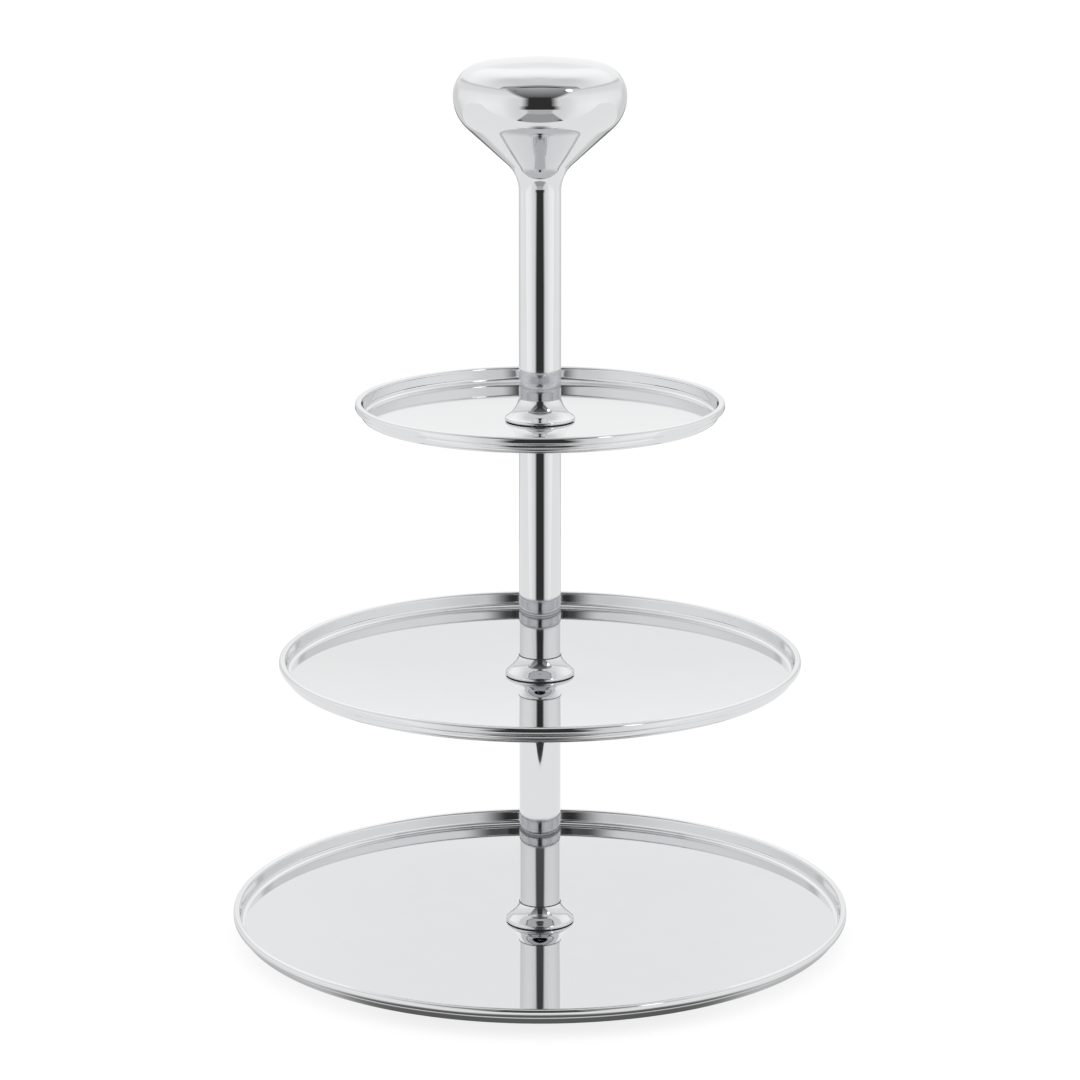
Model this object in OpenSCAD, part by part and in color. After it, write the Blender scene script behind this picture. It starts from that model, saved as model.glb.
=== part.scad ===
// Three-tier serving stand in polished stainless steel, in millimetres.
// The stand rests on z = 0 with its column on the Z axis and its front towards -Y.
// Each tier is a round tray clamped between two screwed column sections.

/* [Trays] */
// Diameter of the bottom tray over its rolled edge
bottom_tray_d = 300; // [220:1:360]
// Diameter of the middle tray over its rolled edge
middle_tray_d = 251.5; // [180:0.5:300]
// Diameter of the top tray over its rolled edge
top_tray_d = 175.5; // [120:0.5:240]
// Height from one tray's floor to the next
tier_pitch = 125.3; // [90:0.1:180]
// Thickness of the tray sheet
sheet_t = 0.8; // [0.6:0.1:1.2]
// Height of a tray's rolled edge above the edge of its floor
rim_h = 7.8; // [7.4:0.1:9.2]
// Depth of the floor's shallow dish, below the edge of the floor
dish_depth = 2; // [0.5:0.1:3]
// Width of the rolled edge
bead_w = 3.3; // [2.6:0.1:4]
// Height of the rolled edge
bead_h = 4.3; // [4:0.1:4.7]
// Radius of the bend between a tray's floor and its upright wall, inside
wall_bend = 2.6; // [1.6:0.1:3]

/* [Column] */
// Outer diameter of the column tubes
tube_d = 20; // [18:0.5:23.5]
// Wall thickness of the column tubes
tube_wall = 1.5; // [1:0.1:2]
// Diameter of each section's foot
foot_d = 33.5; // [30:0.5:45]
// Thickness of the soft gaskets on each side of a tray
gasket_t = 0.4; // [0.3:0.1:1]

/* [Handle] */
// Height of the stem above the top tray's floor, up to the start of the knob's neck
stem_h = 110; // [80:0.1:140]
// Diameter of the knob at its widest
knob_d = 81.4; // [65:0.2:90]
// Wall thickness of the hollow knob
knob_wall = 1.5; // [1:0.1:2.5]
// Radius of the hollow curve where the stem becomes the knob
neck_bend = 16.2; // [12:0.2:24]
// Slope of the knob's underside, from the vertical
cone_slope = 47.8; // [40:0.1:55]
// Radius of the knob's lower edge
knob_lower_bend = 20.4; // [12:0.1:24]
// Radius of the knob's shoulder
knob_shoulder_bend = 15.2; // [10:0.1:20]
// Slope of the domed top where it meets the shoulder
dome_slope = 9.5; // [3:0.1:14]

/* [Screws] */
// Outer diameter of the screw threads
thread_d = 8; // [7:1:10]
// Radial clearance of a thread in its insert
thread_gap = 0.05; // [0.03:0.01:0.1]
// Length of thread inside each insert
engagement = 13; // [10:0.5:18]
// Diameter of the flat screw head under the bottom tray
screw_head_d = 18; // [14:0.5:24]
// Height of the flat screw head
screw_head_h = 2; // [1.5:0.1:2.5]
// Width across flats of the hexagon socket in the screw head
socket_af = 5; // [4:0.5:5.5]
// Depth of the hexagon socket
socket_depth = 2.4; // [1.5:0.1:3]

/* [Base pads] */
// Diameter of a pad
pad_d = 12; // [8:0.5:18]
// Height of the bottom tray's underside above the table, at its centre
pad_h = 3.5; // [3.4:0.1:6]
// Number of pads
pad_count = 4; // [3:1:6]
// Distance from the bottom tray's outer edge to the centres of the pads
pad_inset = 38; // [16:1:80]

/* [Hidden] */
$fn = 96;

steel = "lightgray";
insert_steel = "darkgray";
silicone = "dimgray";

// Play of a screw in a tray's hole, setbacks of the gaskets under the edges they carry,
// how far a cut starts outside the piece it opens, and how far a floor is flat past its foot
hole_play = 0.3;
gasket_setback = 0.9;
top_gasket_setback = 0.4;
cut_margin = 1;
flat_margin = 0.5;

tube_r = tube_d / 2;
bore_r = tube_r - tube_wall;
foot_r = foot_d / 2;
thread_r = thread_d / 2;
threaded_bore_r = thread_r + thread_gap;
tray_hole_r = thread_r + hole_play;
gasket_r = foot_r - gasket_setback;
top_gasket_r = tube_r - top_gasket_setback;
pad_orbit = bottom_tray_d / 2 - pad_inset;
floor_inset = bead_w + wall_bend;
flat_r = foot_r + flat_margin;

// Floor heights, and the height of each section's base and of the lower sections' tubes
bottom_floor = pad_h + sheet_t;
middle_floor = bottom_floor + tier_pitch;
top_floor = middle_floor + tier_pitch;
lower_base = bottom_floor + gasket_t;
middle_base = middle_floor + gasket_t;
handle_base = top_floor + gasket_t;
section_h = tier_pitch - sheet_t - 2 * gasket_t;

// Inserts: a base insert is as long as its screw needs, a top insert has a floor below its bore
insert_floor = 3;
bore_spare = 1.5;
insert_h = engagement + bore_spare + insert_floor;
stud_grip = 12;
stud_drop = 2 * gasket_t + sheet_t + engagement;
washer_t = 0.8;
washer_r = 12;
neck_plug_below = 12;
neck_plug_above = 1;

// The feet: start and end slopes from the vertical, bend radii and the thin edge land.
// A small ledge stands proud of the tube where each foot's flare begins.
ledge = 0.12;
flare = [20, 48, 15, 2, 0.3];
bell = [10, 57, 13, 1.3, 0.3];

// Points of an arc about [x, y], from angle a to angle b
function arc(x, y, r, a, b, steps = 10) =
    [for (i = [0 : steps]) let (t = a + (b - a) * i / steps) [x + r * cos(t), y + r * sin(t)]];

// A foot's outline from its ledge down to its edge: a hollow curve, a cone and a rounded edge
function foot_rise(f) =
    let (
        run = foot_r - tube_r - ledge,
        hollow = f[2] * (cos(f[0]) - cos(f[1])),
        round_over = f[3] * (1 - cos(f[1]))
    )
    f[2] * (sin(f[1]) - sin(f[0])) + (run - hollow - round_over) / tan(f[1]) + f[3] * sin(f[1]) + f[4];
function foot_outline(f) =
    let (
        top_r = tube_r + ledge,
        height = foot_rise(f)
    )
    concat(
        arc(top_r + f[2] * cos(f[0]), height + f[2] * sin(f[0]), f[2], 180 + f[0], 180 + f[1]),
        arc(foot_r - f[3], f[4], f[3], f[1], 0, 6),
        [[foot_r, 0]]
    );

// The knob: heights above the start of its neck, worked out from its bends and slopes
knob_r = knob_d / 2;
neck_out = neck_bend * (1 - cos(cone_slope));
cone_out = knob_r - knob_lower_bend * (1 - cos(cone_slope));
cone_rise = (cone_out - tube_r - neck_out) / tan(cone_slope);
widest_h = neck_bend * sin(cone_slope) + cone_rise + knob_lower_bend * sin(cone_slope);
shoulder_x = knob_r - knob_shoulder_bend;
dome_r = (shoulder_x + knob_shoulder_bend * sin(dome_slope)) / sin(dome_slope);
dome_y = widest_h + knob_shoulder_bend * cos(dome_slope) - dome_r * cos(dome_slope);
knob_base = top_floor + stem_h;

// Outlines of the knob's skin at a depth below its surface
function knob_lower_outline(depth) = concat(
    arc(tube_r + neck_bend, 0, neck_bend + depth, 180, 180 - cone_slope, 12),
    arc(knob_r - knob_lower_bend, widest_h, knob_lower_bend - depth, -cone_slope, 0, 12)
);
function knob_upper_outline(depth) = concat(
    arc(shoulder_x, widest_h, knob_shoulder_bend - depth, 0, 90 - dome_slope, 14),
    arc(0, dome_y, dome_r - depth, 90 - dome_slope, 90, 8)
);
function reversed(points) = [for (i = [len(points) - 1 : -1 : 0]) points[i]];

// A flat ring standing on z = base
module ring(base, height, outer_r, inner_r) {
    translate([0, 0, base])
    rotate_extrude()
    translate([inner_r, 0])
    square([outer_r - inner_r, height]);
}

// A tray's shallow dish: its slope at the floor's edge, and the radius of its curve.
// The middle of the floor is flat, as far as the foot that stands on it.
function dish_slope(outer_r) = 2 * atan(dish_depth / (outer_r - floor_inset - flat_r));
function dish_radius(outer_r) = (outer_r - floor_inset - flat_r) / sin(dish_slope(outer_r));

// The floor's outline from its centre hole to its edge, at a depth below its surface
function floor_outline(outer_r, depth) = concat(
    [[tray_hole_r, -depth]],
    arc(flat_r, dish_radius(outer_r), dish_radius(outer_r) + depth, -90, dish_slope(outer_r) - 90)
);

// A tray's section: dished floor, filleted upright wall and an edge rolled outwards and down
// until it meets the wall again
function tray_outline(outer_r) =
    let (
        floor_r = outer_r - floor_inset,
        bend_mid = dish_depth + wall_bend / cos(dish_slope(outer_r)),
        bead_r = bead_w / 2,
        bead_mid_r = outer_r - bead_r,
        bead_top = dish_depth + rim_h,
        floor_angle = dish_slope(outer_r) - 90,
        curl_end = -acos((sheet_t - bead_r) / bead_r)
    )
    concat(
        floor_outline(outer_r, 0),
        arc(floor_r, bend_mid, wall_bend, floor_angle, 0),
        arc(bead_mid_r, bead_top - bead_r, bead_r, 180, 0, 16),
        arc(bead_mid_r, bead_top - bead_h + bead_r, bead_r, 0, curl_end),
        arc(floor_r, bend_mid, wall_bend + sheet_t, 0, floor_angle),
        reversed(floor_outline(outer_r, sheet_t))
    );

module tray(floor_z, diameter) {
    translate([0, 0, floor_z])
    rotate_extrude()
    polygon(tray_outline(diameter / 2));
}

// A foot that flares out from the tube down to its thin round edge
module foot(base, f) {
    translate([0, 0, base])
    rotate_extrude()
    polygon(concat([[tube_r, 0], [tube_r, foot_rise(f)]], foot_outline(f)));
}

// A plug with a threaded bore that opens at its lower end
module foot_insert(base, bore_depth) {
    translate([0, 0, base])
    difference() {
        cylinder(h = insert_h, r = bore_r);
        translate([0, 0, -cut_margin])
        cylinder(h = bore_depth + cut_margin, r = threaded_bore_r);
    }
}

// A plug with a threaded bore that opens at its upper end
module top_insert(top) {
    translate([0, 0, top - insert_h])
    difference() {
        cylinder(h = insert_h, r = bore_r);
        translate([0, 0, insert_floor])
        cylinder(h = insert_h, r = threaded_bore_r);
    }
}

// A stud fixed in a section's foot, which drops through the tray into the section below
module stud(base) {
    translate([0, 0, base - stud_drop])
    cylinder(h = stud_drop + stud_grip, r = thread_r);
}

module bottom_tray() {
    color(steel) tray(bottom_floor, bottom_tray_d);
}

// The pads end at the underside of the bottom tray's dish
module base_pads() {
    underside = floor_outline(bottom_tray_d / 2, sheet_t);
    floor_r = bottom_tray_d / 2 - floor_inset;
    color(silicone)
    intersection() {
        for (i = [0 : pad_count - 1])
            rotate([0, 0, (i + 0.5) * 360 / pad_count])
            translate([pad_orbit, 0, 0])
            cylinder(h = bottom_floor + dish_depth, d = pad_d);
        translate([0, 0, bottom_floor])
        rotate_extrude()
        polygon(concat([[floor_r, -bottom_floor], [0, -bottom_floor], [0, -sheet_t]], underside));
    }
}

module base_screw() {
    head_z = pad_h - washer_t - screw_head_h;
    color(insert_steel)
    difference() {
        union() {
            translate([0, 0, head_z])
            cylinder(h = screw_head_h, d = screw_head_d);
            translate([0, 0, head_z + screw_head_h])
            cylinder(h = washer_t + sheet_t + gasket_t + engagement, r = thread_r);
        }
        translate([0, 0, head_z - cut_margin])
        cylinder(h = cut_margin + socket_depth, d = socket_af / cos(30), $fn = 6);
    }
}

module base_washer() {
    color(insert_steel) ring(pad_h - washer_t, washer_t, washer_r, tray_hole_r);
}

module lower_foot_gasket() {
    color(silicone) ring(bottom_floor, gasket_t, gasket_r, tray_hole_r);
}

module lower_tube() {
    color(steel) ring(lower_base, section_h, tube_r, bore_r);
}

module lower_foot() {
    color(steel) foot(lower_base, flare);
}

module lower_foot_insert() {
    color(insert_steel) foot_insert(lower_base, engagement + bore_spare);
}

module lower_top_insert() {
    color(insert_steel) top_insert(lower_base + section_h);
}

module lower_top_gasket() {
    color(silicone) ring(lower_base + section_h, gasket_t, top_gasket_r, tray_hole_r);
}

module middle_tray() {
    color(steel) tray(middle_floor, middle_tray_d);
}

module middle_foot_gasket() {
    color(silicone) ring(middle_floor, gasket_t, gasket_r, tray_hole_r);
}

module middle_tube() {
    color(steel) ring(middle_base, section_h, tube_r, bore_r);
}

module middle_foot() {
    color(steel) foot(middle_base, flare);
}

module middle_foot_insert() {
    color(insert_steel) foot_insert(middle_base, stud_grip);
}

module middle_stud() {
    color(insert_steel) stud(middle_base);
}

module middle_top_insert() {
    color(insert_steel) top_insert(middle_base + section_h);
}

module middle_top_gasket() {
    color(silicone) ring(middle_base + section_h, gasket_t, top_gasket_r, tray_hole_r);
}

module top_tray() {
    color(steel) tray(top_floor, top_tray_d);
}

module handle_foot_gasket() {
    color(silicone) ring(top_floor, gasket_t, gasket_r, tray_hole_r);
}

module handle_stem() {
    color(steel) ring(handle_base, knob_base - handle_base, tube_r, bore_r);
}

module handle_foot() {
    color(steel) foot(handle_base, bell);
}

module handle_foot_insert() {
    color(insert_steel) foot_insert(handle_base, stud_grip);
}

module handle_stud() {
    color(insert_steel) stud(handle_base);
}

// A plug that joins the stem to the knob's neck from inside
module knob_neck_insert() {
    color(insert_steel)
    translate([0, 0, knob_base - neck_plug_below])
    cylinder(h = neck_plug_below + neck_plug_above, r = bore_r);
}

module knob_lower_shell() {
    color(steel)
    translate([0, 0, knob_base])
    rotate_extrude()
    polygon(concat(knob_lower_outline(0), reversed(knob_lower_outline(knob_wall))));
}

module knob_upper_shell() {
    color(steel)
    translate([0, 0, knob_base])
    rotate_extrude()
    polygon(concat(knob_upper_outline(0), reversed(knob_upper_outline(knob_wall))));
}

bottom_tray();
base_pads();
base_screw();
base_washer();
lower_foot_gasket();
lower_tube();
lower_foot();
lower_foot_insert();
lower_top_insert();
lower_top_gasket();
middle_tray();
middle_foot_gasket();
middle_tube();
middle_foot();
middle_foot_insert();
middle_stud();
middle_top_insert();
middle_top_gasket();
top_tray();
handle_foot_gasket();
handle_stem();
handle_foot();
handle_foot_insert();
handle_stud();
knob_neck_insert();
knob_lower_shell();
knob_upper_shell();
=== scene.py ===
import math

import bmesh
import bpy
from mathutils import Matrix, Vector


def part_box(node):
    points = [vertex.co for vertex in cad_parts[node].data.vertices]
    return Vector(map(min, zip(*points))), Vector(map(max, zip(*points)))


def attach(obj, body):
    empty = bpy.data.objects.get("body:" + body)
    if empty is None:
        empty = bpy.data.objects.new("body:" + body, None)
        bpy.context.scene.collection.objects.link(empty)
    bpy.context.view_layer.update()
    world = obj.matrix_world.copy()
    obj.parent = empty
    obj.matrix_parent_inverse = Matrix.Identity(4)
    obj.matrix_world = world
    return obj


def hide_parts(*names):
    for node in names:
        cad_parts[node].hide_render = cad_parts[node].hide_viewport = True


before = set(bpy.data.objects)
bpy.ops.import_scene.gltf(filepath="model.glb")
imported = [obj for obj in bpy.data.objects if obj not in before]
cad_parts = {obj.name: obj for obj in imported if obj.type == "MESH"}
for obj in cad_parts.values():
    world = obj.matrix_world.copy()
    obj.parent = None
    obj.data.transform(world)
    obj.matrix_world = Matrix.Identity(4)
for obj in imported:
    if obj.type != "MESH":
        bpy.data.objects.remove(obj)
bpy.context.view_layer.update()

# ---------------------------------------------------------------- dimensions
# Metres, as the frame, and degrees. What the frame's boxes give is read from
# them. The rest repeats the design's own sizes, but for the socket's depth, or
# is detail that the design leaves out: threads, seams, roundings and chamfers.

MM = 0.001

# Trays
SHEET = 0.8 * MM
DISH = 2.0 * MM  # depth of a floor's shallow dish
BEAD_W = 3.3 * MM  # rolled edge: width, height
BEAD_H = 4.3 * MM
WALL_BEND = 2.6 * MM  # bend between the floor and the upright wall
FLOOR_INSET = BEAD_W + WALL_BEND
FLAT_R = 17.25 * MM  # the flat middle of a floor
HOLE_R = 4.3 * MM  # centre hole of trays, gaskets and the washer

# Column sections. A foot's outline: slopes from the vertical at its start and
# end, radii of its hollow curve and of its edge, height of the edge's land.
TUBE_WALL = 1.5 * MM
FLARE = (20, 48, 15.0 * MM, 2.0 * MM, 0.3 * MM)
BELL = (10, 57, 13.0 * MM, 1.3 * MM, 0.3 * MM)
LEDGE = 0.12 * MM  # step where a foot's flare begins
SEAM_R = 0.25 * MM  # the seam's raised bead there
FOOT_CORNER = 0.25 * MM  # rounding under a foot's edge
FOOT_SUPPORT = 1.1 * MM  # how far in from its edge a foot's flat underside has a supporting ring
GASKET_ROUNDING = 0.4  # of a gasket's height
CLEAR = 0.01 * MM  # keeps a gasket's faces off the tray that turns against them

# Knob
NECK_BEND = 16.2 * MM
CONE_SLOPE = 47.8
KNOB_LOWER_BEND = 20.4 * MM
KNOB_SHOULDER_BEND = 15.2 * MM
DOME_SLOPE = 9.5
KNOB_WALL = 1.5 * MM

# Screws, the washer and pads
THREAD_PITCH = 1.25 * MM
THREAD_DEPTH = 0.65 * MM
THREAD_FORM = ((0, 0), (0.3, 0), (0.5, 1), (0.62, 1), (0.8, 0))  # shares of pitch and depth
THREAD_STEPS = 40  # to a turn
THREAD_RUN_OUT = 0.6  # turns over which the thread fades at either end
CORE, TIP = 0.999, 0.9  # radii of a shank's core and tip, as shares of the thread's root
SCREW_PLAY = 0.3 * MM
HEAD_CHAMFER = 0.6 * MM
SHANK_CHAMFER = 0.2 * MM
SOCKET_AF = 5.0 * MM
SOCKET_DEPTH = 1.5 * MM  # the design's is 2.4; this one ends inside the head
WASHER_EDGE = 0.15 * MM
PAD_R = 6.0 * MM
PAD_EDGE = 1.2 * MM
PAD_COUNT = 4

# Meshes
ROUND = 256  # segments of trays, tubes, feet, seams and the knob
SMALL_ROUND = 128  # of gaskets and the washer
HEAD_ROUND = 96  # of the screw's head
SHANK_ROUND = 64  # of shanks and pads
SUPPORT = 0.25 * MM  # width of the thin rings that keep flat stretches flat when shaded
SHARP_ANGLE = 30
SAME = 1e-7  # points nearer than this are one point


# ------------------------------------------------------------- turned pieces


def arc(x, y, radius, start, end, steps=14):
    """Points of an arc about (x, y), from angle start to end in degrees."""
    angles = [math.radians(start + (end - start) * i / steps) for i in range(steps + 1)]
    return [(x + radius * math.cos(a), y + radius * math.sin(a)) for a in angles]


def straight(a, b):
    """A straight stretch from a to b with a thin supporting ring at each end."""
    length = math.dist(a, b)
    share = min(SUPPORT / length, 0.25)
    near = (a[0] + (b[0] - a[0]) * share, a[1] + (b[1] - a[1]) * share)
    far = (b[0] + (a[0] - b[0]) * share, b[1] + (a[1] - b[1]) * share)
    return [a, near, far, b]


def without_repeats(points):
    """The points without any that repeats the one before it."""
    kept = []
    for point in points:
        if not kept or math.dist(kept[-1], point) > SAME:
            kept.append(point)
    return kept


def new_piece(name, bm):
    """An object from bm, smooth but for its sharp edges."""
    bmesh.ops.recalc_face_normals(bm, faces=bm.faces)
    mesh = bpy.data.meshes.new(name)
    bm.to_mesh(mesh)
    bm.free()
    mesh.polygons.foreach_set("use_smooth", [True] * len(mesh.polygons))
    mesh.set_sharp_from_angle(angle=math.radians(SHARP_ANGLE))
    piece = bpy.data.objects.new(name, mesh)
    bpy.context.collection.objects.link(piece)
    return piece


def ring_of(bm, radius, height, segments):
    """A ring of vertices about Z, which is one vertex repeated where the radius is 0."""
    if radius < SAME:
        return [bm.verts.new((0, 0, height))] * segments
    angles = [2 * math.pi * i / segments for i in range(segments)]
    return [bm.verts.new((radius * math.cos(a), radius * math.sin(a), height)) for a in angles]


def join_rings(bm, rings):
    """Faces from each ring to the next: four-sided, or triangles where a ring is a point."""
    for ring, following in zip(rings, rings[1:]):
        for i, vertex in enumerate(ring):
            j = (i + 1) % len(ring)
            corners = list(dict.fromkeys((vertex, ring[j], following[j], following[i])))
            if len(corners) > 2:
                bm.faces.new(corners)


def turned(name, outline, lift=0.0, segments=ROUND):
    """A solid of revolution about Z from a closed outline of (radius, height)."""
    outline = without_repeats(outline)
    if math.dist(outline[0], outline[-1]) < SAME:
        outline.pop()
    bm = bmesh.new()
    rings = [ring_of(bm, radius, height + lift, segments) for radius, height in outline]
    join_rings(bm, rings + rings[:1])
    return new_piece(name, bm)


def top_of(node):
    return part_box(node)[1].z


def bottom_of(node):
    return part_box(node)[0].z


def radius_of(node):
    return (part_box(node)[1].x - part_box(node)[0].x) / 2


# --------------------------------------------------------------------- trays


def dish_curve(outer_r):
    """Slope at the edge of a tray's dished floor, in radians, and radius of the dish's curve."""
    run = outer_r - FLOOR_INSET - FLAT_R
    slope = 2 * math.atan(DISH / run)
    return slope, run / math.sin(slope)


def floor_outline(outer_r, depth):
    """The floor from its centre hole to its edge, at a depth below its surface."""
    slope, curve = dish_curve(outer_r)
    middle = straight((HOLE_R, -depth), (FLAT_R, -depth))
    return middle + arc(FLAT_R, curve, curve + depth, -90, math.degrees(slope) - 90, 32)


def tray_outline(outer_r, rim_top):
    """Pressed sheet with a dished floor and an upright wall, rolled outwards at its edge."""
    floor_r = outer_r - FLOOR_INSET
    wall_r = outer_r - BEAD_W
    slope, _ = dish_curve(outer_r)
    bend_mid = DISH + WALL_BEND / math.cos(slope)
    floor_angle = math.degrees(slope) - 90
    bead_r = BEAD_W / 2
    bead_x = wall_r + bead_r
    high = rim_top - bead_r
    low = rim_top - BEAD_H + bead_r
    curl_end = -math.degrees(math.acos((SHEET - bead_r) / bead_r))  # back at the wall's outer face
    curl_z = low + bead_r * math.sin(math.radians(curl_end))
    return (
        floor_outline(outer_r, 0)
        + arc(floor_r, bend_mid, WALL_BEND, floor_angle, 0, 24)
        + straight((wall_r, bend_mid), (wall_r, high))
        + arc(bead_x, high, bead_r, 180, 0, 36)
        + arc(bead_x, low, bead_r, 0, curl_end, 26)
        + straight((wall_r + SHEET, curl_z), (wall_r + SHEET, bend_mid))
        + arc(floor_r, bend_mid, WALL_BEND + SHEET, 0, floor_angle, 24)
        + floor_outline(outer_r, SHEET)[::-1]
    )


def tray(node, body):
    floor_z = bottom_of(node) + SHEET
    piece = turned(node + "_sheet", tray_outline(radius_of(node), top_of(node) - floor_z), floor_z)
    finish(piece, body, "polished_steel", MIRROR_TRAY, node)


# ----------------------------------------------------------- column and knob


def tube(node, body):
    radius = radius_of(node)
    inner = radius - TUBE_WALL
    low, high = bottom_of(node), top_of(node)
    outline = (
        straight((radius, low), (radius, high))
        + straight((radius, high), (inner, high))
        + straight((inner, high), (inner, low))
        + straight((inner, low), (radius, low))
    )
    finish(turned(node + "_wall", outline), body, "polished_steel", MIRROR, node)


def foot_outline(tube_r, foot_r, foot):
    """Hollow curve, cone and rounded edge, as straight stretches and arcs that meet smoothly."""
    start, end, hollow_r, edge_r, land = foot
    top_r = tube_r + LEDGE
    across = foot_r - top_r - edge_r * (1 - math.cos(math.radians(end)))
    hollow = hollow_r * (math.cos(math.radians(start)) - math.cos(math.radians(end)))
    height = (
        hollow_r * (math.sin(math.radians(end)) - math.sin(math.radians(start)))
        + (across - hollow) / math.tan(math.radians(end))
        + edge_r * math.sin(math.radians(end))
        + land
    )
    centre_x = top_r + hollow_r * math.cos(math.radians(start))
    centre_y = height + hollow_r * math.sin(math.radians(start))
    return (
        [(tube_r, 0), (tube_r, height)]
        + arc(centre_x, centre_y, hollow_r, 180 + start, 180 + end, 24)
        + arc(foot_r - edge_r, land, edge_r, end, 0, 16)
        + arc(foot_r - FOOT_CORNER, FOOT_CORNER, FOOT_CORNER, 0, -90, 5)
        + [(foot_r - FOOT_SUPPORT, 0)]
    )


def foot(node, tube_node, body, shape):
    outline = foot_outline(radius_of(tube_node), radius_of(node), shape)
    piece = turned(node + "_flare", outline, bottom_of(node))
    finish(piece, body, "polished_steel", MIRROR, node)


def seam(foot_node, tube_node, body):
    """The seam where a foot's flare leaves its tube: a thin dull ring, dark with painted shade."""
    outline = arc(radius_of(tube_node) + LEDGE / 2, 0, SEAM_R, -90, 90, 12)
    piece = turned(foot_node + "_seam", outline, top_of(foot_node) - SEAM_R / 2)
    finish(piece, body, "plain_steel", SEAM_PAINTED_SHADE)


def knob(body):
    """The hollow knob: neck, cone, rounded edge, shoulder and domed top in one polished skin."""
    knob_r = radius_of("knob_upper_shell")
    neck_r = radius_of("handle_stem")
    widest = bottom_of("knob_upper_shell") - bottom_of("knob_lower_shell")
    shoulder_x = knob_r - KNOB_SHOULDER_BEND
    lean = math.radians(DOME_SLOPE)
    dome_r = (shoulder_x + KNOB_SHOULDER_BEND * math.sin(lean)) / math.sin(lean)
    dome_y = widest + KNOB_SHOULDER_BEND * math.cos(lean) - dome_r * math.cos(lean)

    def skin(depth):
        return (
            arc(neck_r + NECK_BEND, 0, NECK_BEND + depth, 180, 180 - CONE_SLOPE, 30)
            + arc(knob_r - KNOB_LOWER_BEND, widest, KNOB_LOWER_BEND - depth, -CONE_SLOPE, 0, 36)
            + arc(shoulder_x, widest, KNOB_SHOULDER_BEND - depth, 0, 90 - DOME_SLOPE, 48)
            + arc(0, dome_y, dome_r - depth, 90 - DOME_SLOPE, 90, 24)
        )

    outline = skin(0) + skin(KNOB_WALL)[::-1]
    piece = turned("knob_skin", outline, bottom_of("knob_lower_shell"))
    finish(piece, body, "polished_steel", MIRROR, "knob_lower_shell", "knob_upper_shell")


def soft_ring_outline(inner_r, outer_r, height, edge):
    """A moulded ring's section with rounded outer corners."""
    return (
        [(inner_r, 0), (outer_r - edge, 0)]
        + arc(outer_r - edge, edge, edge, -90, 0, 5)
        + arc(outer_r - edge, height - edge, edge, 0, 90, 5)
        + [(inner_r, height)]
    )


def gasket(node, body):
    height = top_of(node) - bottom_of(node) - 2 * CLEAR
    outline = soft_ring_outline(HOLE_R, radius_of(node), height, height * GASKET_ROUNDING)
    piece = turned(node + "_ring", outline, bottom_of(node) + CLEAR, SMALL_ROUND)
    finish(piece, body, "silicone", SILICONE, node)


# ----------------------------------------------------------- screws and pads


def threaded_shank(name, radius, low, high):
    """A shank with a helical thread, wound round a core with a narrower tip."""
    root = radius - THREAD_DEPTH
    threaded_turns = int((high - low) / THREAD_PITCH) - 1
    start = low + THREAD_DEPTH
    bm = bmesh.new()
    rows = []
    for step in range(threaded_turns * THREAD_STEPS + 1):
        turn = step / THREAD_STEPS
        angle = 2 * math.pi * turn
        fade = max(0.0, min(1.0, turn / THREAD_RUN_OUT, (threaded_turns - turn) / THREAD_RUN_OUT))
        row = []
        for along, out in THREAD_FORM:
            r = root + THREAD_DEPTH * out * fade
            z = start + (turn + along) * THREAD_PITCH
            row.append(bm.verts.new((r * math.cos(angle), r * math.sin(angle), z)))
        rows.append(row)
    for row, following in zip(rows, rows[1:]):
        for i in range(len(THREAD_FORM) - 1):
            bm.faces.new((row[i], following[i], following[i + 1], row[i + 1]))
    add_cylinder(bm, root * CORE, low + THREAD_DEPTH / 2, high)
    add_cylinder(bm, root * TIP, low, start)
    return new_piece(name, bm)


def add_cylinder(bm, radius, low, high):
    """A closed cylinder with small chamfers, added to bm."""
    edge = min(SHANK_CHAMFER, (high - low) / 4)
    section = [(0, low), (radius - edge, low), (radius, low + edge), (radius, high - edge)]
    section += [(radius - edge, high), (0, high)]
    join_rings(bm, [ring_of(bm, r, z, SHANK_ROUND) for r, z in section])


def stud(node, body):
    piece = threaded_shank(node + "_threads", radius_of(node), bottom_of(node), top_of(node))
    finish(piece, body, "plain_steel", TURNED_STEEL, node)


def base_screw(body):
    """Screw from below: a low round head with a hexagon socket, and a threaded shank."""
    low, high = bottom_of("base_screw"), top_of("base_screw")
    head_r = radius_of("base_screw")
    head_top = bottom_of("base_washer")
    section = [(head_r - HEAD_CHAMFER, low), (head_r, low + HEAD_CHAMFER)]
    section += [(head_r, head_top), (0, head_top)]
    bm = bmesh.new()
    rings = [hexagon_ring(bm, SOCKET_AF, z, HEAD_ROUND) for z in (low + SOCKET_DEPTH, low)]
    rings += [ring_of(bm, r, z, HEAD_ROUND) for r, z in section]
    join_rings(bm, rings)
    bm.faces.new(rings[0])
    head = new_piece("base_screw_head", bm)
    finish(head, body, "plain_steel", TURNED_STEEL, "base_screw")
    shank = threaded_shank("base_screw_shank", HOLE_R - SCREW_PLAY, head_top, high)
    finish(shank, body, "plain_steel", TURNED_STEEL)


def hexagon_ring(bm, across_flats, height, segments):
    """A ring of vertices along a hexagon of that size across its flats."""
    ring = []
    for i in range(segments):
        angle = 2 * math.pi * i / segments
        sector = (angle + math.pi / 6) % (math.pi / 3) - math.pi / 6
        r = across_flats / 2 / math.cos(sector)
        ring.append(bm.verts.new((r * math.cos(angle), r * math.sin(angle), height)))
    return ring


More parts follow.
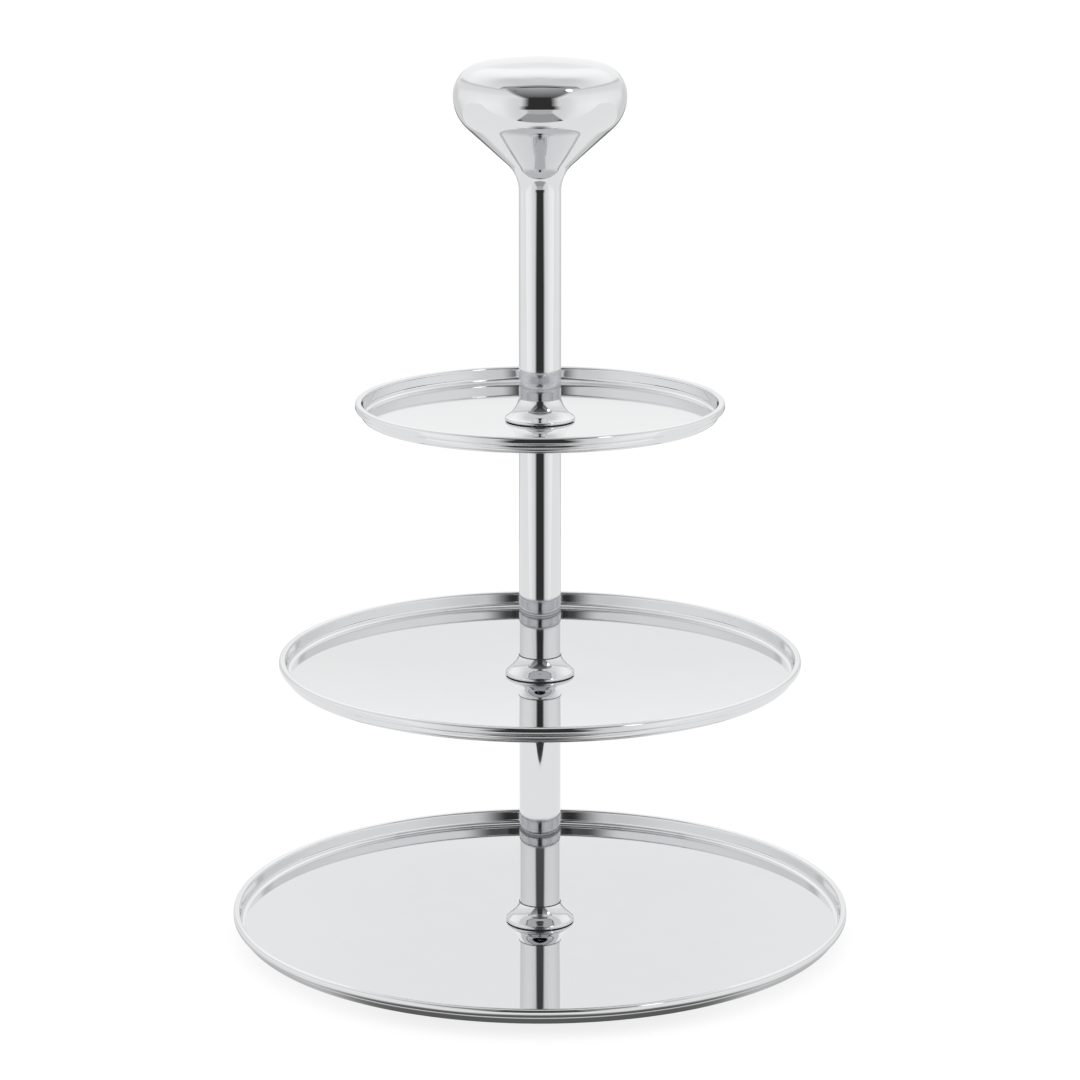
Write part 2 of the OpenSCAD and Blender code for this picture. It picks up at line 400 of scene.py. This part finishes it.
def base_washer(body):
    low, high = bottom_of("base_washer"), top_of("base_washer")
    outline = soft_ring_outline(HOLE_R, radius_of("base_washer"), high - low, WASHER_EDGE)
    piece = turned("base_washer_ring", outline, low, SMALL_ROUND)
    finish(piece, body, "plain_steel", TURNED_STEEL, "base_washer")


def base_pads(body):
    """Silicone pads with rounded lower edges, cut to the slope of the tray above them."""
    low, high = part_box("base_pads")
    tray_r = radius_of("bottom_tray")
    underside = bottom_of("bottom_tray") + SHEET
    _, curve = dish_curve(tray_r)
    orbit = math.hypot(high.x - PAD_R, high.y - PAD_R)
    section = [(PAD_R - PAD_EDGE, 0)] + arc(PAD_R - PAD_EDGE, PAD_EDGE, PAD_EDGE, -60, 0, 6)
    section += [(PAD_R, underside), (0, underside), (0, 0)]
    for i in range(PAD_COUNT):
        pad = turned(f"base_pad_{i + 1}", section, 0.0, SHANK_ROUND)
        for vertex in pad.data.vertices:
            if vertex.co.z > underside / 2:
                out = math.hypot(vertex.co.x + orbit, vertex.co.y) - FLAT_R
                vertex.co.z = underside + curve - math.sqrt((curve + SHEET) ** 2 - out**2)
        turn = Matrix.Rotation(2 * math.pi * (i + 0.5) / PAD_COUNT, 4, "Z")
        pad.data.transform(turn @ Matrix.Translation((orbit, 0, low.z)))
        finish(pad, body, "silicone", SILICONE, *(["base_pads"] if i == 0 else []))


# -------------------------------------------------------- joining the frame


def finish(piece, body, slot, material, *nodes):
    """Gives a piece its material and its body, and hides the CAD nodes that it stands for."""
    piece.data.materials.clear()
    piece.data.materials.append(material)
    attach(piece, body)
    if nodes:
        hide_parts(*nodes)


# ----------------------------------------------------------------- materials


class Nodes:
    """Adds nodes to a material's tree and joins them."""

    def __init__(self, material):
        self.tree = material.node_tree
        self.shader = next(n for n in self.tree.nodes if n.type == "BSDF_PRINCIPLED")

    def add(self, kind, inputs=(), **settings):
        node = self.tree.nodes.new(kind)
        for key, value in settings.items():
            setattr(node, key, value)
        for key, value in dict(inputs).items():
            self.set(node.inputs[key], value)
        return node

    def set(self, socket, value):
        if isinstance(value, bpy.types.NodeSocket):
            self.tree.links.new(value, socket)
        else:
            socket.default_value = value

    def noise(self, scale, detail=3.0, roughness=0.5, stretch=(1, 1, 1)):
        place = self.add("ShaderNodeTexCoord").outputs["Object"]
        mapped = self.add("ShaderNodeMapping", {"Vector": place, "Scale": stretch}).outputs["Vector"]
        inputs = {"Vector": mapped, "Scale": scale, "Detail": detail, "Roughness": roughness}
        return self.add("ShaderNodeTexNoise", inputs).outputs["Fac"]

    def between(self, value, low, high, start=0.3, end=0.7):
        inputs = {"Value": value, "From Min": start, "From Max": end, "To Min": low, "To Max": high}
        return self.add("ShaderNodeMapRange", inputs).outputs["Result"]

    def tint(self, value, dark, light):
        mix = self.add("ShaderNodeMix", data_type="RGBA")
        self.set(mix.inputs["Factor"], value)
        mix.inputs["A"].default_value = (*dark, 1)
        mix.inputs["B"].default_value = (*light, 1)
        return mix.outputs["Result"]

    def bump(self, height, distance, strength=1.0, over=None):
        inputs = {"Height": height, "Distance": distance, "Strength": strength}
        node = self.add("ShaderNodeBump", inputs)
        if over is not None:
            self.set(node.inputs["Normal"], over)
        return node.outputs["Normal"]


def new_material(name):
    material = bpy.data.materials.new(name)
    material.use_nodes = True
    return material, Nodes(material)


def polished_steel(name, wave, wave_scale):
    """Mirror-polished stainless steel: faint haze, faint waviness and hairline wipe marks."""
    material, n = new_material(name)
    n.shader.inputs["Metallic"].default_value = 1.0
    haze = n.noise(55, 4, 0.6)
    n.set(n.shader.inputs["Base Color"], n.tint(haze, (0.775, 0.78, 0.79), (0.8, 0.805, 0.815)))
    n.set(n.shader.inputs["Roughness"], n.between(haze, 0.025, 0.05))
    hairlines = n.noise(900, 2, 0.5, (1, 1, 0.08))
    scratched = n.bump(hairlines, 0.000002, 0.25)
    waved = n.bump(n.noise(wave_scale, 1.5, 0.4), wave, 1.0, scratched)
    n.set(n.shader.inputs["Normal"], waved)
    return material


def turned_steel():
    """Plain stainless steel as it comes off the lathe: fine rings and a satin sheen."""
    material, n = new_material("turned_steel")
    n.shader.inputs["Metallic"].default_value = 1.0
    rings = n.noise(1400, 2, 0.5, (0.05, 0.05, 1))
    n.set(n.shader.inputs["Base Color"], n.tint(n.noise(160, 3), (0.5, 0.5, 0.5), (0.62, 0.615, 0.61)))
    n.set(n.shader.inputs["Roughness"], n.between(rings, 0.22, 0.38))
    n.set(n.shader.inputs["Normal"], n.bump(rings, 0.00001, 0.4))
    return material


def seam_painted_shade():
    """Dull grey metal, its dark colour painted shade in the joint's crease."""
    material, n = new_material("seam_painted_shade")
    n.shader.inputs["Metallic"].default_value = 1.0
    grain = n.noise(1800, 3, 0.6)
    n.set(n.shader.inputs["Base Color"], n.tint(grain, (0.09, 0.088, 0.085), (0.16, 0.155, 0.15)))
    n.set(n.shader.inputs["Roughness"], n.between(grain, 0.42, 0.6))
    n.set(n.shader.inputs["Normal"], n.bump(grain, 0.00002, 0.5))
    return material


def silicone():
    """Matt grey silicone rubber with a faint moulded grain."""
    material, n = new_material("silicone_rubber")
    n.shader.inputs["Specular IOR Level"].default_value = 0.4
    grain = n.noise(2600, 3, 0.6)
    n.set(n.shader.inputs["Base Color"], n.tint(n.noise(220, 3), (0.1, 0.1, 0.105), (0.14, 0.14, 0.145)))
    n.set(n.shader.inputs["Roughness"], n.between(grain, 0.48, 0.62))
    n.set(n.shader.inputs["Normal"], n.bump(grain, 0.00003, 0.5))
    return material


MIRROR = polished_steel("polished_steel", 0.00001, 30)
MIRROR_TRAY = polished_steel("polished_tray_steel", 0.000012, 12)
TURNED_STEEL = turned_steel()
# a thin ring of painted shade where each flare leaves its tube
SEAM_PAINTED_SHADE = seam_painted_shade()
SILICONE = silicone()


# ------------------------------------------------------------ the whole stand

# These keep the design's own solids.
INSERTS = ("lower_foot_insert", "lower_top_insert", "middle_foot_insert")
INSERTS += ("middle_top_insert", "handle_foot_insert", "knob_neck_insert")


def build_stand():
    tray("bottom_tray", "base")
    base_pads("base")
    base_screw("base")
    base_washer("base")
    gasket("lower_foot_gasket", "lower_seat")
    tube("lower_tube", "lower_column")
    foot("lower_foot", "lower_tube", "lower_column", FLARE)
    seam("lower_foot", "lower_tube", "lower_column")
    gasket("lower_top_gasket", "lower_column")
    tray("middle_tray", "middle_tier")
    gasket("middle_foot_gasket", "middle_seat")
    tube("middle_tube", "middle_column")
    foot("middle_foot", "middle_tube", "middle_column", FLARE)
    seam("middle_foot", "middle_tube", "middle_column")
    stud("middle_stud", "middle_column")
    gasket("middle_top_gasket", "middle_column")
    tray("top_tray", "top_tier")
    gasket("handle_foot_gasket", "handle_seat")
    tube("handle_stem", "handle")
    foot("handle_foot", "handle_stem", "handle", BELL)
    stud("handle_stud", "handle")
    knob("handle")
    for node in INSERTS:
        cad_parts[node].material_slots[0].material = TURNED_STEEL


# --------------------------------------------------------------------- studio


class Sum:
    """A number in a node tree, so that the light can be written as arithmetic."""

    def __init__(self, tree, socket):
        self.tree = tree
        self.socket = socket

    def feed(self, socket, value):
        if isinstance(value, Sum):
            self.tree.links.new(value.socket, socket)
        else:
            socket.default_value = value

    def math(self, operation, other=None):
        node = self.tree.nodes.new("ShaderNodeMath")
        node.operation = operation
        self.feed(node.inputs[0], self)
        if other is not None:
            self.feed(node.inputs[1], other)
        return Sum(self.tree, node.outputs[0])

    def __add__(self, other):
        return self.math("ADD", other)

    def __mul__(self, other):
        return self.math("MULTIPLY", other)

    def map(self, interpolation, ends):
        node = self.tree.nodes.new("ShaderNodeMapRange")
        node.interpolation_type = interpolation
        self.feed(node.inputs["Value"], self)
        for key, value in zip(("From Min", "From Max", "To Min", "To Max"), ends):
            node.inputs[key].default_value = value
        return Sum(self.tree, node.outputs["Result"])

    def rise(self, start, end):
        """0 below start and 1 above end, smoothly between them; falls if end is the lower."""
        if start < end:
            return self.map("SMOOTHSTEP", (start, end, 0.0, 1.0))
        return self.map("SMOOTHSTEP", (end, start, 1.0, 0.0))

    def rise_straight(self, start, end):
        """0 at start and 1 at end, in a straight line between them."""
        return self.map("LINEAR", (start, end, 0.0, 1.0))

    def band(self, low, high, soft):
        """1 between low and high, with soft edges."""
        return self.rise(low - soft, low + soft) * self.rise(high + soft, high - soft)

    def within(self, half, outer, inner):
        """1 where this number is under half, fading from inner to outer past it."""
        return (self + half * -1.0).rise(outer, inner)

    def everywhere(self, value):
        """The same value for every ray."""
        return self * 0.0 + value

    def toward(self, value, mask):
        """This number where mask is 0 and value where it is 1."""
        node = self.tree.nodes.new("ShaderNodeMix")
        node.data_type = "FLOAT"
        self.feed(node.inputs["Factor"], mask)
        self.feed(node.inputs["A"], self)
        self.feed(node.inputs["B"], value)
        return Sum(self.tree, node.outputs["Result"])


# Brightness of what lights the stand, and of what its steel mirrors
STUDIO_WHITE = 1.06  # light on what isn't a mirror
BLACK = 0.035
SIDE_WALL, SIDE_PANEL, FRONT_WALL = 0.95, 1.06, 0.8
UPPER_WALL, UPPER_BACK, WALL_SHADE, WALL_LINE = 0.87, 1.0, 0.85, 0.7
CEILING, CEILING_MIDDLE = 0.73, 0.77
BACKDROP, BACKDROP_LOW, BACKDROP_FOOT = 1.15, 1.0, 0.66
BACKDROP_CORNERS, BACKDROP_GAP = 0.74, 0.08
BACKDROP_MIDDLE, BACKDROP_SIDES = 0.93, 0.1  # the second is added towards its sides
FUNNEL_SHADE, SLOT_SILL, HOOD_SHADOW = 0.43, 0.5, 0.36
APRON, APRON_CORNERS = 0.38, -0.3  # the second is added in its corners
LAMP = 4.0
# the table's last three levels are painted shadows: under the stand, in front of it and along the bottom
# rim
TABLE, TABLE_BACK, TABLE_SHADOW, TABLE_FRONT_SHADOW, TABLE_RIM_SHADOW = 0.92, 0.65, 0.55, 0.1, 0.12
PANEL_FUNNEL = 0.12
FLOOR_GLOW = 0.8

# Places of the cards that only the mirrors see, in metres from the stand's middle
TABLE_HALF = 3.0
FRONT_EDGE = 0.345  # of the table
BACK_EDGE = 0.8
PANEL_Y = -0.55  # the dark panel round the camera's slot
SLOT_HALF = 0.14
PANEL_LOW, PANEL_TOP = 0.26, 0.62
FUNNEL_TOP, FUNNEL_HALF = 1.02, 0.5  # the funnel above it
CARD_MARGIN = 0.02
FLOOR_HALF = 6.0  # of the plain floor that the camera sees

LAMP_TOWARDS = (0.552, -0.515, 0.656)  # its direction from the stand
LAMP_EDGE = (0.9965, 0.9985)  # cosines of the angle off it where the lamp begins and is full
PANEL_BOW, HOOD_BOW = 0.0031, 0.0039  # of two curved edges: degrees up for each square degree aside

# Rays that the cards tell apart: by their length, and by the Facing value that they meet a card with
NEAR, FAR, STEEP = (0.47, 0.42), (0.61, 0.65), (0.66, 0.58)

CAMERA_TILT = 13.503
CAMERA_DISTANCE = 1.7522  # to where its axis meets the column's, at CAMERA_AIM above the floor
CAMERA_AIM = 0.1961
CAMERA_LENS, CAMERA_SENSOR = 121.87, 36.0  # millimetres


def studio_world():
    """Even white light on what isn't a mirror, and for what is, a studio with walls, a slot and a lamp."""
    world = bpy.data.worlds.new("studio")
    world.use_nodes = True
    tree = world.node_tree
    tree.nodes.clear()
    x, y, z = split(tree, "Generated")
    degrees = 180 / math.pi
    aside = x.math("ARCTAN2", y * -1.0).math("ABSOLUTE") * degrees  # 0 towards the front, -Y
    height = z.math("ARCSINE") * degrees

    level = studio_walls(aside, height)
    level = studio_front(level, aside, height)
    level = studio_apron(level, x, y, z, height)
    lamp_x, lamp_y, lamp_z = LAMP_TOWARDS
    lamp = x * lamp_x + y * lamp_y + z * lamp_z
    level = level.toward(LAMP, lamp.rise(*LAMP_EDGE))

    path = tree.nodes.new("ShaderNodeLightPath")
    mirrored = Sum(tree, path.outputs["Is Glossy Ray"])
    level = level.everywhere(STUDIO_WHITE).toward(level, mirrored)
    background = tree.nodes.new("ShaderNodeBackground")
    background.inputs["Color"].default_value = (1, 1, 1, 1)
    tree.links.new(level.socket, background.inputs["Strength"])
    output = tree.nodes.new("ShaderNodeOutputWorld")
    tree.links.new(background.outputs[0], output.inputs["Surface"])
    bpy.context.scene.world = world


def studio_walls(aside, height):
    """Side panels with a curved upper edge, the ceiling and the backdrop, by degrees aside and up."""
    panel_edge = height + (aside + -60.0) * (aside + -60.0) * PANEL_BOW
    above = panel_edge.rise(37, 39)
    level = aside.everywhere(SIDE_WALL)
    level = level.toward(SIDE_PANEL, aside.band(55, 105, 30) * height.band(-25, 8, 20))
    level = level.toward(WALL_SHADE, panel_edge.band(24, 40, 7))
    level = level.toward(UPPER_WALL, above)
    level = level.toward(UPPER_BACK, above * aside.rise(80, 125))
    level = level.toward(WALL_LINE, panel_edge.band(36, 40.5, 1.5) * aside.rise(35, 60))
    level = level.toward(FRONT_WALL, aside.rise(56, 28) * height.rise(24, 14))

    level = level.toward(CEILING, height.rise(38, 70) * aside.rise(150, 95))
    level = level.toward(CEILING_MIDDLE, height.rise(72, 86))

    behind = aside.rise(110, 160)
    straight_behind = aside.rise(145, 165)
    middle = aside.rise(179, 172) * BACKDROP_SIDES + BACKDROP_MIDDLE
    level = level.toward(BACKDROP, behind * height.band(26, 66, 9))
    level = level.toward(BACKDROP_LOW, straight_behind * height.band(4, 13, 2))
    level = level.toward(middle, straight_behind * height.band(15, 22, 2))
    level = level.toward(BACKDROP_FOOT, behind * height.rise(2, -12))
    level = level.toward(BACKDROP_CORNERS, aside.band(138, 162, 8) * height.rise(10, 0))
    return level.toward(BACKDROP_GAP, aside.rise(160, 172) * height.band(-27, -9, 1.5))


def studio_front(level, aside, height):
    """A grey funnel under the ceiling's dark edge, down to the dark slot that the camera looks through."""
    hood = height + aside * aside * HOOD_BOW  # the edge sinks towards its ends
    half = height.rise_straight(17, 60) * 60 + height.rise_straight(-7.5, -9.5) * 4 + 14.5
    shade = height.rise_straight(15, 56) * FUNNEL_SHADE + BLACK
    funnel = aside.within(half, 12, -2) * hood.rise(58, 57) * height.rise(-17.6, -17)
    level = level.toward(SLOT_SILL, aside.rise(20, 14) * height.band(-28, -18, 0.5))
    level = level.toward(shade, funnel)
    level = level.toward(HOOD_SHADOW, hood.rise(57, 58) * hood.rise(68, 65) * aside.rise(70, 65))
    return level.toward(BLACK, hood.band(57.5, 60.8, 0.5) * aside.rise(52, 30))


def studio_apron(level, x, y, z, height):
    """A grey apron with dark corners, in front of the table and below the stand's foot."""
    down = z * -1.0
    across = x.math("ABSOLUTE").math("DIVIDE", down)
    forward = (y * -1.0).math("DIVIDE", down)
    apron = across.rise(0.64, 0.58) * forward.band(0.76, 1.85, 0.03) * height.rise(-20, -26)
    corners = across.rise(0.42, 0.56) * forward.rise(1.0, 0.86)
    return level.toward(corners * APRON_CORNERS + APRON, apron)


def split(tree, coordinates):
    """The three coordinates of that kind, as numbers to work with."""
    place = tree.nodes.new("ShaderNodeTexCoord").outputs[coordinates]
    node = tree.nodes.new("ShaderNodeSeparateXYZ")
    tree.links.new(place, node.inputs[0])
    return (Sum(tree, node.outputs[i]) for i in range(3))


def mirrored_card(name, corners, look):
    """A glowing card that only the mirrors see: look(tree) says how bright it is and how solid."""
    bm = bmesh.new()
    bm.faces.new([bm.verts.new(corner) for corner in corners])
    card = new_piece(name, bm)
    material = bpy.data.materials.new(name)
    material.use_nodes = True
    tree = material.node_tree
    tree.nodes.clear()
    brightness, solid = look(tree)
    glow = tree.nodes.new("ShaderNodeEmission")
    tree.links.new(brightness.socket, glow.inputs["Strength"])
    clear = tree.nodes.new("ShaderNodeBsdfTransparent")
    mix = tree.nodes.new("ShaderNodeMixShader")
    for source, socket in zip((solid.socket, clear.outputs[0], glow.outputs[0]), mix.inputs):
        tree.links.new(source, socket)
    output = tree.nodes.new("ShaderNodeOutputMaterial")
    tree.links.new(mix.outputs[0], output.inputs["Surface"])
    card.data.materials.append(material)
    card.visible_camera = card.visible_diffuse = card.visible_shadow = False


def table_look(tree):
    """The white table, shaded by the stand, with painted shadows and a painted reflection at its front.

    Only near rays meet these, and only steep rays the two painted shadows.
    """
    x, y, _ = split(tree, "Object")
    aside = x.math("ABSOLUTE")
    out = ((x * x) + (y * y)).math("SQRT")
    near = ray_length(tree).rise(*NEAR)
    weight = tree.nodes.new("ShaderNodeLayerWeight")
    weight.inputs["Blend"].default_value = 0.5
    steep = Sum(tree, weight.outputs["Facing"]).rise(*STEEP)
    level = out.everywhere(TABLE)
    level = level.toward(TABLE_BACK, aside.within(y * 0.55, 0.05, -0.05) * y.rise(0.3, 0.45))
    level = level.toward(TABLE_SHADOW, out.rise(0.175, 0.152))
    front = y.rise(-0.1, -0.13) * near
    # painted shadow on the table in front of the stand
    level = level.toward(TABLE_FRONT_SHADOW, aside.rise(0.12, 0.01) * front * steep)
    # painted shadow in a strip along the front of the bottom tray's rim
    level = level.toward(TABLE_RIM_SHADOW, aside.rise(0.2, 0.05) * y.rise(-0.17, -0.158) * front * steep)
    # a painted reflection of the camera's dark slot on the table, which only near rays meet
    slot_reflection_half = y.rise_straight(-0.294, -0.33) * 0.26
    slot_reflection = aside.within(slot_reflection_half, 0.01, -0.01) * y.rise(-0.292, -0.297)
    level = level.toward(BLACK, slot_reflection * near)
    return level, out.everywhere(1.0)


def panel_look(tree):
    """The dark panel round the camera's slot, and above it a funnel that only far rays meet."""
    x, _, z = split(tree, "Object")
    funnel = z.rise_straight(PANEL_TOP, FUNNEL_TOP)
    half = funnel * (FUNNEL_HALF - SLOT_HALF) + SLOT_HALF
    inside = x.math("ABSOLUTE").within(half, 0.01, -0.01)
    below = z.rise(PANEL_TOP + 0.005, PANEL_TOP - 0.005)
    far = (ray_length(tree) + funnel * -0.26).rise(*FAR)
    return funnel * PANEL_FUNNEL + BLACK, inside * below.math("MAXIMUM", far)


def ray_length(tree):
    """How far a ray has come from the steel that mirrored it."""
    return Sum(tree, tree.nodes.new("ShaderNodeLightPath").outputs["Ray Length"])


def studio_floor():
    """A plain white floor, which the steel doesn't mirror: it mirrors the studio's cards instead."""
    half = FLOOR_HALF
    bm = bmesh.new()
    corners = [(-half, -half), (half, -half), (half, half), (-half, half)]
    bm.faces.new([bm.verts.new((x, y, 0)) for x, y in corners])
    floor = new_piece("studio_floor", bm)
    material, n = new_material("floor_white")
    n.shader.inputs["Roughness"].default_value = 0.9
    n.shader.inputs["Specular IOR Level"].default_value = 0.0
    n.shader.inputs["Emission Color"].default_value = (1, 1, 1, 1)
    n.shader.inputs["Emission Strength"].default_value = FLOOR_GLOW
    n.set(n.shader.inputs["Base Color"], n.tint(n.noise(3, 2), (0.23, 0.23, 0.23), (0.25, 0.25, 0.25)))
    floor.data.materials.append(material)
    floor.visible_glossy = False


def mirrored_cards():
    """A level card for the table, and an upright one for the dark panel in front of the stand."""
    front, back = (-FRONT_EDGE, 0), (BACK_EDGE, 0)
    mirrored_card("mirrored_table", card_corners(TABLE_HALF, front, back), table_look)
    low, high = (PANEL_Y, PANEL_LOW), (PANEL_Y, FUNNEL_TOP)
    mirrored_card("mirrored_panel", card_corners(FUNNEL_HALF + CARD_MARGIN, low, high), panel_look)


def card_corners(half, near, far):
    """Corners of a card across X, between its edges at two places in Y and Z."""
    return [(-half, *near), (half, *near), (half, *far), (-half, *far)]


def studio_camera():
    """A long lens that looks a little down at the column, as in the photograph."""
    tilt = math.radians(CAMERA_TILT)
    data = bpy.data.cameras.new("camera")
    data.sensor_width = CAMERA_SENSOR
    data.lens = CAMERA_LENS
    camera = bpy.data.objects.new("camera", data)
    back, up = CAMERA_DISTANCE * math.cos(tilt), CAMERA_DISTANCE * math.sin(tilt)
    camera.location = (0, -back, CAMERA_AIM + up)
    camera.rotation_euler = (math.pi / 2 - tilt, 0, 0)
    bpy.context.collection.objects.link(camera)
    bpy.context.scene.camera = camera


build_stand()
studio_world()
studio_floor()
mirrored_cards()
studio_camera()
bpy.context.scene.view_settings.view_transform = "Standard"
